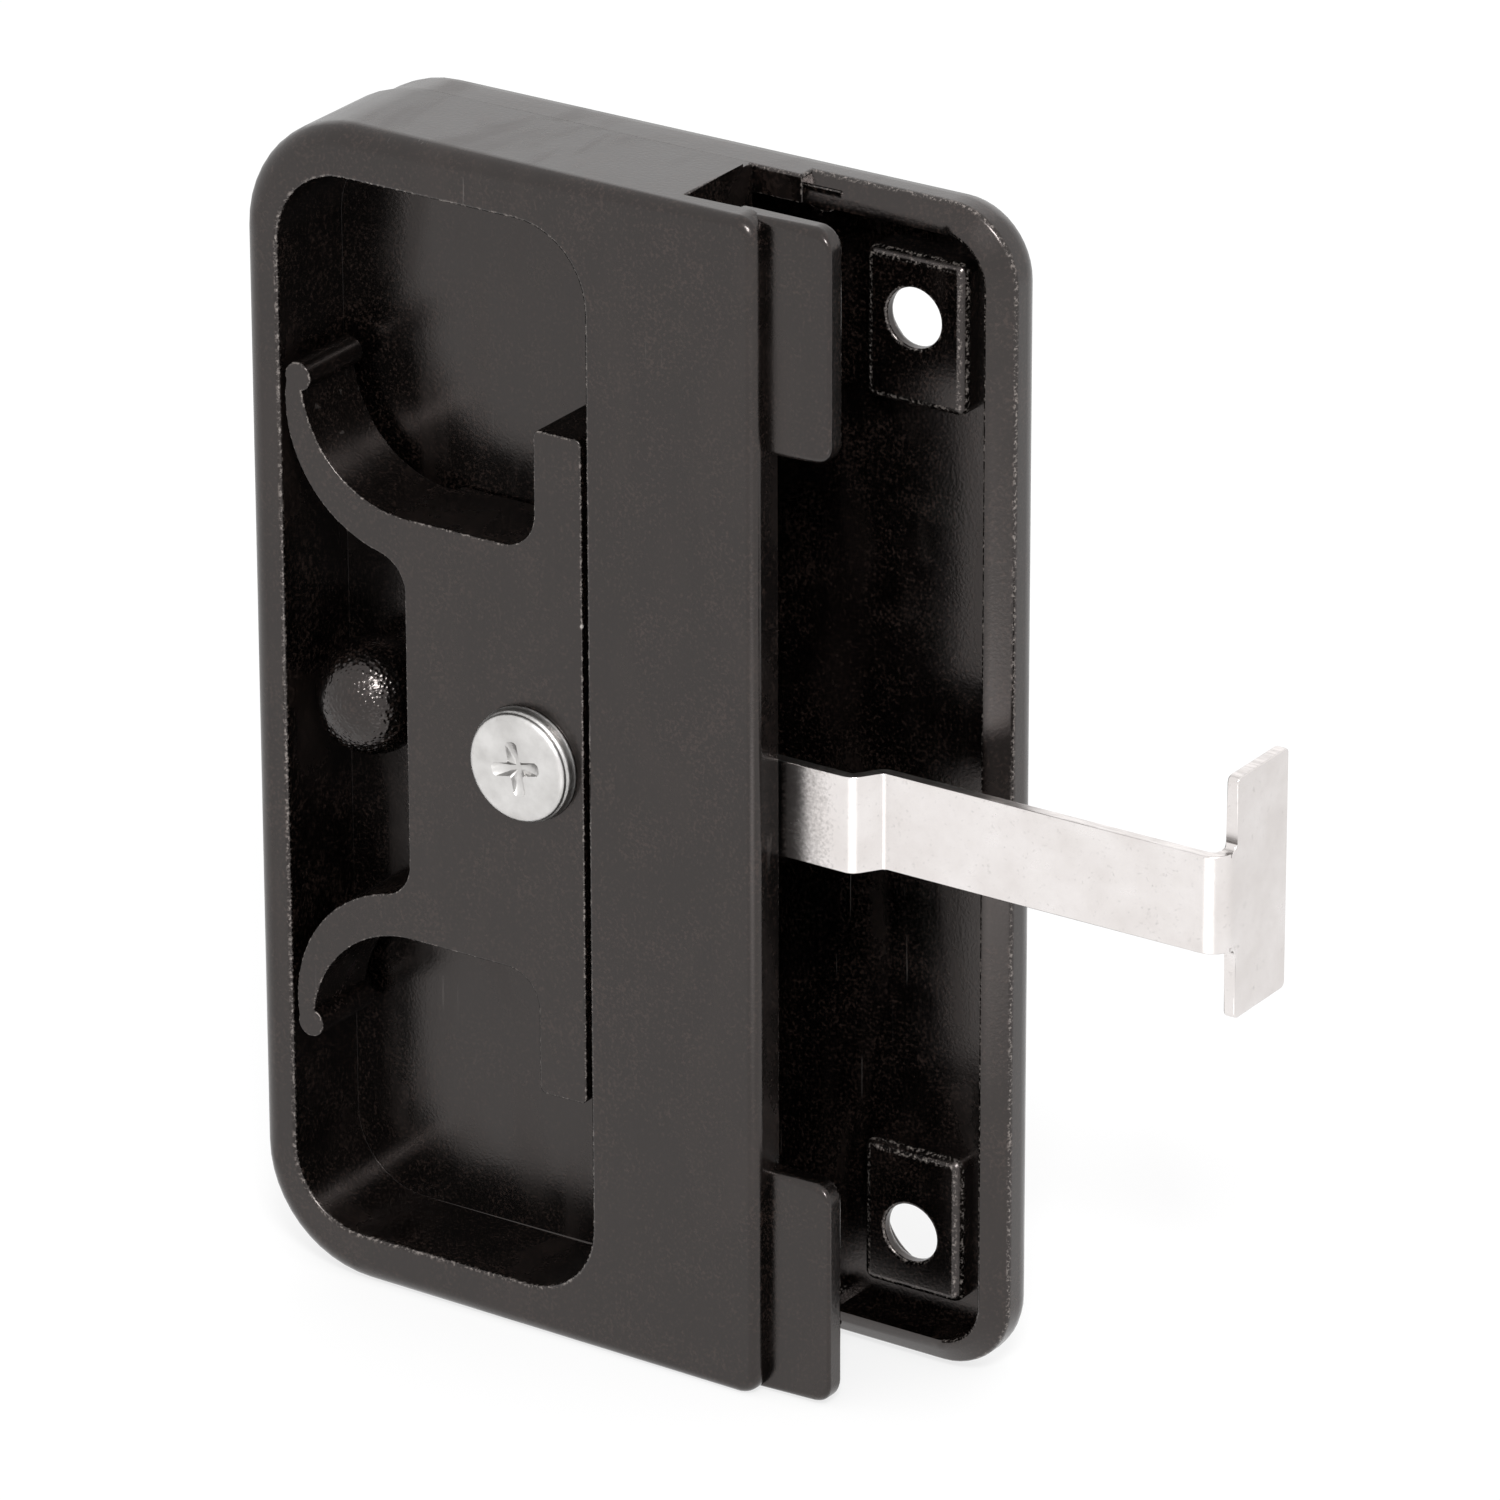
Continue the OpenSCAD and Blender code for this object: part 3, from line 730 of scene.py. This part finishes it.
def crisperMoulding(shape):
    tabEdge = moulding["tabRight"] - moulding["tabCorner"] - moulding["edgeSlack"]
    for vert in shape.verts:
        x, height, z = vert.co.x / mm, -vert.co.y / mm, vert.co.z / mm
        vert.co += footShift(x, height, z) * mm
        if moulding["frontFrom"] < x < moulding["frontTo"] and height > moulding["frontBack"]:
            vert.co.x += moulding["frontShift"] * mm
        if x > tabEdge:
            vert.co += tabShift(x, height, z) * mm
            vert.co.x += moulding["tabShift"] * mm


def softenedCopy(nodeName, pieceName, edge, sliver):
    shape = bmesh.new()
    shape.from_mesh(nodes[nodeName].data)
    bmesh.ops.remove_doubles(shape, verts=shape.verts, dist=rounding["weld"] * mm)
    bmesh.ops.dissolve_degenerate(shape, dist=rounding["weld"] * mm, edges=shape.edges)
    if nodeName == "housing":
        crisperMoulding(shape)
    bmesh.ops.recalc_face_normals(shape, faces=shape.faces)
    shape.faces.index_update()
    rounded = RoundedEdges(shape, edge * mm, sliver * mm * mm)
    for attempt in range(rounding["buildTries"]):
        mesh = rounded.build(pieceName)
        faults = meshFaults(mesh)
        if not faults:
            break
        reach = (1 + attempt / rounding["taperTries"]) * edge * mm
        rounded.keepSharp(faults, reach, attempt >= rounding["taperTries"])
    print("   rounding settled after", attempt + 1, "tries, faults left:", len(faults))
    shape.free()
    return addObject(pieceName, mesh)


# edge is the width of the rounds in mm, and sliver the least area in mm2 of a region that gets them
softPieces = {
    "face_plate": {
        "piece": "facePlate", "finish": plateFinish, "slot": "black_plastic", "body": "latch_body",
        "edge": 0.3, "sliver": 0.06},
    "housing": {
        "piece": "latchHousing", "finish": plasticFinish, "slot": "black_plastic", "body": "latch_body",
        "edge": 0.34, "sliver": 0.0},
    "slide": {
        "piece": "springSlide", "finish": slideFinish, "slot": "slide_plastic", "body": "carriage",
        "edge": 0.18, "sliver": 0.0},
    "hook": {
        "piece": "hookStrip", "finish": stripFinish, "slot": "steel_strip", "body": "carriage",
        "edge": 0.14, "sliver": 0.0},
    "thumb_button": {
        "piece": "thumbButton", "finish": plasticFinish, "slot": "black_plastic", "body": "carriage",
        "edge": 0.3, "sliver": 0.0},
}
for nodeName, soft in softPieces.items():
    piece = softenedCopy(nodeName, *pick(soft, "piece", "edge", "sliver"))
    placePiece(piece, *pick(soft, "finish", "slot", "body"), nodeName)
print("stage: moulded pieces and hook made")


def turnedShape(name, profile, steps, axisX, axisZ):
    # profile holds (radius, height towards the door); both ends lie on the axis
    shape = bmesh.new()
    rings = []
    for radius, height in profile:
        count = 1 if radius < 1e-6 else steps
        rings.append([shape.verts.new((
            (axisX + radius * math.cos(2 * math.pi * step / steps)) * mm, -height * mm,
            (axisZ + radius * math.sin(2 * math.pi * step / steps)) * mm)) for step in range(count)])
    for lower, upper in zip(rings, rings[1:]):
        for step in range(steps):
            after = (step + 1) % steps
            corners = [lower[step % len(lower)], lower[after % len(lower)],
                       upper[after % len(upper)], upper[step % len(upper)]]
            shape.faces.new(list(dict.fromkeys(corners)))
    return closedMesh(name, shape)


def closedMesh(name, shape):
    bmesh.ops.recalc_face_normals(shape, faces=shape.faces)
    mesh = bpy.data.meshes.new(name)
    shape.to_mesh(mesh)
    shape.free()
    return mesh


screwBox = [[value / mm for value in corner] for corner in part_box("clamp_screw")]
screw = {
    "axisX": (screwBox[0][0] + screwBox[1][0]) / 2, "axisZ": 0.0, "steps": 96,
    "headTop": -screwBox[0][1], "headHeight": 1.6,
    "tip": -screwBox[1][1], "tipRadius": 1.25, "tipLength": 1.2, "shankRadius": 1.95,
    # head from the middle of its top to the foot of its flange
    "headProfile": [
        (0.0, 1.55), (2.38, 1.55), (2.50, 1.60), (3.2, 1.59), (3.84, 1.565), (4.14, 1.49), (4.32, 1.35),
        (4.41, 1.20), (4.40, 1.10), (4.43, 1.02), (4.52, 0.92), (4.58, 0.80), (4.60, 0.60), (4.62, 0.30),
        (4.67, 0.20), (4.70, 0.12), (4.68, 0.05), (4.62, 0.0), (4.5, 0.0)],
    "recessReach": 2.3, "wingHalf": 0.56, "recessRound": 0.22, "roundSteps": 6, "recessTurn": 12,
    # end of a wing: distance back from its tip, and share of its half width
    "wingEnd": [(0.3, 1.0), (0.06, 0.62), (0.0, 0.0)],
    # height above the head's top and size of the recess there
    "recessLevels": [(0.3, 1.03), (0.0, 1.0), (-0.22, 0.90), (-0.6, 0.34)],
    "softWidth": 0.05, "softSegments": 2, "softAngle": 40,
    "threadPitch": 1.3, "threadHeight": 0.16, "threadBelowHead": 1.5, "threadFromTip": 1.4, "threadSteps": 48,
}


def crossOutline(settings):
    reach, half, corner, steps, turn = pick(
        settings, "recessReach", "wingHalf", "recessRound", "roundSteps", "recessTurn")
    upper = [(reach - back, share * half) for back, share in settings["wingEnd"]]
    wing = [(x, -y) for x, y in upper] + upper[-2::-1]
    for step in range(steps + 1):
        angle = math.radians(270 - 90 * step / steps)
        wing.append((half + corner + corner * math.cos(angle), half + corner + corner * math.sin(angle)))
    outline = []
    for quarter in range(4):
        spin = math.radians(90 * quarter + turn)
        outline += [(x * math.cos(spin) - y * math.sin(spin), x * math.sin(spin) + y * math.cos(spin))
                    for x, y in wing]
    return outline


def crossCutter(settings):
    outline = crossOutline(settings)
    shape = bmesh.new()
    rings = []
    for height, size in settings["recessLevels"]:
        rings.append([shape.verts.new((
            (settings["axisX"] + size * x) * mm, -(settings["headTop"] + height) * mm,
            (settings["axisZ"] + size * z) * mm)) for x, z in outline])
    for lower, upper in zip(rings, rings[1:]):
        for step in range(len(lower)):
            after = (step + 1) % len(lower)
            shape.faces.new((lower[step], lower[after], upper[after], upper[step]))
    for ring in (rings[0], rings[-1]):
        shape.faces.new(ring)
    return addObject("recessCutter", closedMesh("recessCutter", shape))


def makeScrew(settings):
    seat = settings["headTop"] - settings["headHeight"]
    tip, shank = settings["tip"], settings["shankRadius"]
    profile = [(radius, seat + height) for radius, height in settings["headProfile"]]
    profile += [(shank, seat), (shank, tip + settings["tipLength"]), (settings["tipRadius"], tip), (0.0, tip)]
    turned = turnedShape("clampScrew", profile, *pick(settings, "steps", "axisX", "axisZ"))
    piece = addObject("clampScrew", turned)
    cutter = crossCutter(settings)
    recess = piece.modifiers.new("recess", "BOOLEAN")
    recess.object = cutter
    recess.solver = "EXACT"
    softening = piece.modifiers.new("softening", "BEVEL")
    softening.width = settings["softWidth"] * mm
    softening.segments = settings["softSegments"]
    softening.angle_limit = math.radians(settings["softAngle"])
    bakeShape(piece)
    bpy.data.objects.remove(cutter, do_unlink=True)
    return piece


placePiece(makeScrew(screw), screwFinish, "zinc_screw", "carriage", "clamp_screw")


def shapeTree(name, sockets):
    tree = bpy.data.node_groups.new(name, "GeometryNodeTree")
    tree.interface.new_socket("Geometry", in_out="INPUT", socket_type="NodeSocketGeometry")
    tree.interface.new_socket("Geometry", in_out="OUTPUT", socket_type="NodeSocketGeometry")
    for label, kind in sockets.items():
        tree.interface.new_socket(label, in_out="INPUT", socket_type="NodeSocket" + kind)
    return tree, addNode(tree, "NodeGroupInput"), addNode(tree, "NodeGroupOutput")


def endTree(tree, source, target, geometry):
    realize = addNode(tree, "GeometryNodeRealizeInstances")
    paint = addNode(tree, "GeometryNodeSetMaterial")
    joinNodes(
        tree, (geometry, realize.inputs[0]), (realize.outputs[0], paint.inputs["Geometry"]),
        (source.outputs["finish"], paint.inputs["Material"]), (paint.outputs[0], target.inputs["Geometry"]))


def growShape(piece, tree, values):
    modifier = piece.modifiers.new(tree.name, "NODES")
    modifier.node_group = tree
    identifiers = {item.name: item.identifier for item in tree.interface.items_tree if item.in_out == "INPUT"}
    for label, value in values.items():
        modifier[identifiers[label]] = value
    bakeShape(piece)


def pebbleTree(settings):
    # raises round pebbles from a skin, except on its side away from the slide
    tree, source, target = shapeTree("pebbledSkin", {
        "pebbleSize": "Float", "pebbleHeight": "Float", "plainEdge": "Float", "plainFade": "Float",
        "finish": "Material"})
    cells = addNode(tree, "ShaderNodeTexVoronoi", {"Randomness": settings["randomness"]})
    position = addNode(tree, "GeometryNodeInputPosition")
    normal = addNode(tree, "GeometryNodeInputNormal")
    raised = addNode(tree, "ShaderNodeMapRange", {
        "From Min": settings["flatTop"], "From Max": settings["pebbleFoot"], "To Min": 1.0, "To Max": 0.0},
        interpolation_type="SMOOTHSTEP")
    mask = addNode(tree, "ShaderNodeMapRange", interpolation_type="SMOOTHSTEP")
    offset = addNode(tree, "ShaderNodeVectorMath", operation="SCALE")
    move = addNode(tree, "GeometryNodeSetPosition")
    fromLeft = splitAxes(tree, position.outputs[0])["X"]
    fadeEnd = plus(tree, source.outputs["plainEdge"], source.outputs["plainFade"])
    height = times(tree, times(tree, raised.outputs[0], mask.outputs[0]), source.outputs["pebbleHeight"])
    joinNodes(
        tree,
        (position.outputs[0], cells.inputs["Vector"]),
        (combine(tree, "DIVIDE", 1.0, source.outputs["pebbleSize"]), cells.inputs["Scale"]),
        (cells.outputs["Distance"], raised.inputs["Value"]), (fromLeft, mask.inputs["Value"]),
        (source.outputs["plainEdge"], mask.inputs["From Min"]), (fadeEnd, mask.inputs["From Max"]),
        (normal.outputs[0], offset.inputs[0]), (height, offset.inputs["Scale"]),
        (source.outputs["Geometry"], move.inputs["Geometry"]), (offset.outputs[0], move.inputs["Offset"]),
    )
    endTree(tree, source, target, move.outputs[0])
    return tree


dome = {
    "centreX": -44.6, "centreZ": 0.0, "height": 8.2, "radius": 4.6, "skin": 0.012, "underAngle": 34,
    "rows": 110, "steps": 340,
    "pebbleSize": 0.34, "pebbleHeight": 0.055, "plainEdge": -46.6, "plainFade": 0.5,
    "randomness": 0.85, "flatTop": 0.12, "pebbleFoot": 0.60,
}


def makeDome(settings):
    # the skin of the post, from its top to a little below its widest round
    reach = settings["radius"] + settings["skin"]
    profile = [(0.0, settings["height"] + reach)]
    for row in range(1, settings["rows"] + 1):
        angle = math.radians(90 - (90 + settings["underAngle"]) * row / settings["rows"])
        profile.append((reach * math.cos(angle), settings["height"] + reach * math.sin(angle)))
    profile.append((0.0, profile[-1][1]))
    skin = turnedShape("pebbledDome", profile, *pick(settings, "steps", "centreX", "centreZ"))
    piece = addObject("pebbledDome", skin)
    sizes = {name: settings[name] * mm for name in ("pebbleSize", "pebbleHeight", "plainEdge", "plainFade")}
    growShape(piece, pebbleTree(settings), dict(sizes, finish=pebbleFinish))
    return piece


placePiece(makeDome(dome), pebbleFinish, "black_plastic", "latch_body")


def threadTree(settings):
    # a ridge of four sides, swept along a helix
    tree, source, target = shapeTree("screwThread", {
        "turns": "Float", "radius": "Float", "height": "Float", "ridge": "Float", "finish": "Material"})
    helix = addNode(tree, "GeometryNodeCurveSpiral", {"Resolution": settings["threadSteps"]})
    section = addNode(tree, "GeometryNodeCurvePrimitiveCircle", {"Resolution": 4})
    sweep = addNode(tree, "GeometryNodeCurveToMesh", {"Fill Caps": True})
    joinNodes(
        tree,
        (source.outputs["turns"], helix.inputs["Rotations"]),
        (source.outputs["radius"], helix.inputs["Start Radius"]),
        (source.outputs["radius"], helix.inputs["End Radius"]),
        (source.outputs["height"], helix.inputs["Height"]),
        (source.outputs["ridge"], section.inputs["Radius"]),
        (helix.outputs[0], sweep.inputs["Curve"]), (section.outputs[0], sweep.inputs["Profile Curve"]),
    )
    endTree(tree, source, target, sweep.outputs[0])
    return tree


def makeThread(settings):
    top = settings["headTop"] - settings["headHeight"] - settings["threadBelowHead"]
    low = settings["tip"] + settings["threadFromTip"]
    piece = addObject("screwThread", bpy.data.meshes.new("screwThread"))
    growShape(piece, threadTree(settings), {
        "turns": (top - low) / settings["threadPitch"], "radius": settings["shankRadius"] * mm,
        "height": (top - low) * mm, "ridge": settings["threadHeight"] * mm, "finish": screwFinish})
    start = Matrix.Translation((settings["axisX"] * mm, -low * mm, settings["axisZ"] * mm))
    piece.data.transform(start @ Matrix.Rotation(math.radians(90), 4, "X"))
    return piece


placePiece(makeThread(screw), screwFinish, "zinc_screw", "carriage")
print("stage: screw and post made")

studio = {
    "worldLevel": 0.98, "floorSize": 3.0, "floorDrop": 0.05, "paper": (0.92, 0.92, 0.92, 1),
    "floorGlow": 0.75, "glossGlow": 0.92,
    # as gloss sees it, the floor is dimmer behind the latch, a painted shade, and has one soft bright patch
    # in front, a painted pool of light
    "dimSpan": (0.0, 0.09), "dimLevel": 0.86,
    "patchPlace": (0.05, -0.108), "patchSize": 0.055, "patchLevel": 2.0,
    # light that comes by way of two glossy faces is weak, as it is in the corners of the real mouldings
    "laterBounce": 0.25,
}


def raySigns(tree):
    # what is seen straight or through glass, how much a later bounce keeps, and what is seen in gloss
    path = addNode(tree, "ShaderNodeLightPath")
    straight = combine(tree, "MAXIMUM", path.outputs["Is Camera Ray"], path.outputs["Is Transmission Ray"])
    later = remap(tree, path.outputs["Glossy Depth"], (1.0, 2.0), 1.0, studio["laterBounce"])
    return straight, later, path.outputs["Is Glossy Ray"]


def makeWorld():
    world = bpy.data.worlds.new("studioWorld")
    bpy.context.scene.world = world
    world.use_nodes = True
    tree = world.node_tree
    tree.nodes.clear()
    straight, later = raySigns(tree)[:2]
    level = times(tree, remap(tree, straight, (0.0, 1.0), studio["worldLevel"], 1.0), later)
    background = addNode(tree, "ShaderNodeBackground", {"Color": (1, 1, 1, 1)})
    output = addNode(tree, "ShaderNodeOutputWorld")
    joinNodes(tree, (level, background.inputs["Strength"]), (background.outputs[0], output.inputs["Surface"]))


def paleFloor():
    material, tree = newMaterial("paleFloor")
    straight, later, glossy = raySigns(tree)
    paper = addNode(tree, "ShaderNodeBsdfDiffuse", {"Color": studio["paper"]})
    glow = addNode(tree, "ShaderNodeEmission", {"Color": (1, 1, 1, 1)})
    blend = addNode(tree, "ShaderNodeMixShader")
    output = addNode(tree, "ShaderNodeOutputMaterial")
    spot = splitAxes(tree, addNode(tree, "ShaderNodeTexCoord").outputs["Object"])
    # painted shade behind the latch and a painted pool of light in front, for glossy rays only
    dimmed = remap(tree, spot["Y"], studio["dimSpan"], 1.0, studio["dimLevel"])
    offX = combine(tree, "SUBTRACT", spot["X"], studio["patchPlace"][0])
    offY = combine(tree, "SUBTRACT", spot["Y"], studio["patchPlace"][1])
    reach = combine(tree, "SQRT", plus(tree, times(tree, offX, offX), times(tree, offY, offY)))
    patch = remap(tree, reach, (0.0, studio["patchSize"]), studio["patchLevel"], 0.0)
    glossLevel = times(tree, plus(tree, dimmed, patch), later)
    level = combine(tree, "MAXIMUM", straight, times(tree, glossy, glossLevel))
    share = combine(
        tree, "MAXIMUM", times(tree, straight, studio["floorGlow"]), times(tree, glossy, studio["glossGlow"]))
    joinNodes(
        tree,
        (share, blend.inputs[0]), (level, glow.inputs["Strength"]), (paper.outputs[0], blend.inputs[1]),
        (glow.outputs[0], blend.inputs[2]), (blend.outputs[0], output.inputs["Surface"]),
    )
    return material


def makeFloor():
    low, half = cadBox[0][2] - studio["floorDrop"] * mm, studio["floorSize"] / 2
    corners = [(-half, -half, low), (half, -half, low), (half, half, low), (-half, half, low)]
    mesh = bpy.data.meshes.new("studioFloor")
    mesh.from_pydata(corners, [], [(0, 1, 2, 3)])
    mesh.materials.append(paleFloor())
    addObject("studioFloor", mesh)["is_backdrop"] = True


# place and size in metres, power in watts; both face the latch
softBoxes = {
    "backBox": {"place": (-0.35, 0.60, 0.36), "size": (0.9, 0.5), "power": 0.5},
    "frontBox": {"place": (0.46, -0.64, 0.71), "size": (0.21, 0.21), "power": 7.0},
}


def softBox(name, place, size, power):
    light = bpy.data.lights.new(name, "AREA")
    light.shape = "RECTANGLE"
    light.size, light.size_y = size
    light.energy = power
    lamp = addObject(name, light)
    lamp.location = place
    lamp.rotation_euler = (-Vector(place)).to_track_quat("-Z", "Y").to_euler()


makeWorld()
makeFloor()
for name, settings in softBoxes.items():
    softBox(name, **settings)

# angles in degrees, the rest in mm; the frame's origin lies this far right and down of the picture's middle
view = {
    "yaw": 33.66, "pitch": 23.23, "roll": 0.15, "lens": 253.6, "sensor": 36,
    "distance": 807.9, "right": 12.34, "down": 2.65,
}


def photoCamera(settings):
    yaw, pitch, roll = (math.radians(settings[name]) for name in ("yaw", "pitch", "roll"))
    level = Vector((math.cos(yaw), math.sin(yaw), 0))
    forward = Vector((-math.sin(yaw) * math.cos(pitch), math.cos(yaw) * math.cos(pitch), -math.sin(pitch)))
    below = forward.cross(level)
    across = math.cos(roll) * level + math.sin(roll) * below
    downward = math.cos(roll) * below - math.sin(roll) * level
    right, down, distance = pick(settings, "right", "down", "distance")
    place = -(right * across + down * downward + distance * forward) * mm
    data = bpy.data.cameras.new("photoCamera")
    data.lens = settings["lens"]
    data.sensor_width = settings["sensor"]
    camera = addObject("photoCamera", data)
    camera.matrix_world = Matrix((
        (across.x, -downward.x, -forward.x, place.x),
        (across.y, -downward.y, -forward.y, place.y),
        (across.z, -downward.z, -forward.z, place.z),
        (0, 0, 0, 1),
    ))
    return camera


bpy.context.scene.camera = photoCamera(view)
bpy.context.scene.view_settings.view_transform = "Standard"
print("stage: studio set")

sizes = {"cad": cadBox, "visual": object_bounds()}
{name: [list(corner) for corner in box] for name, box in sizes.items()}
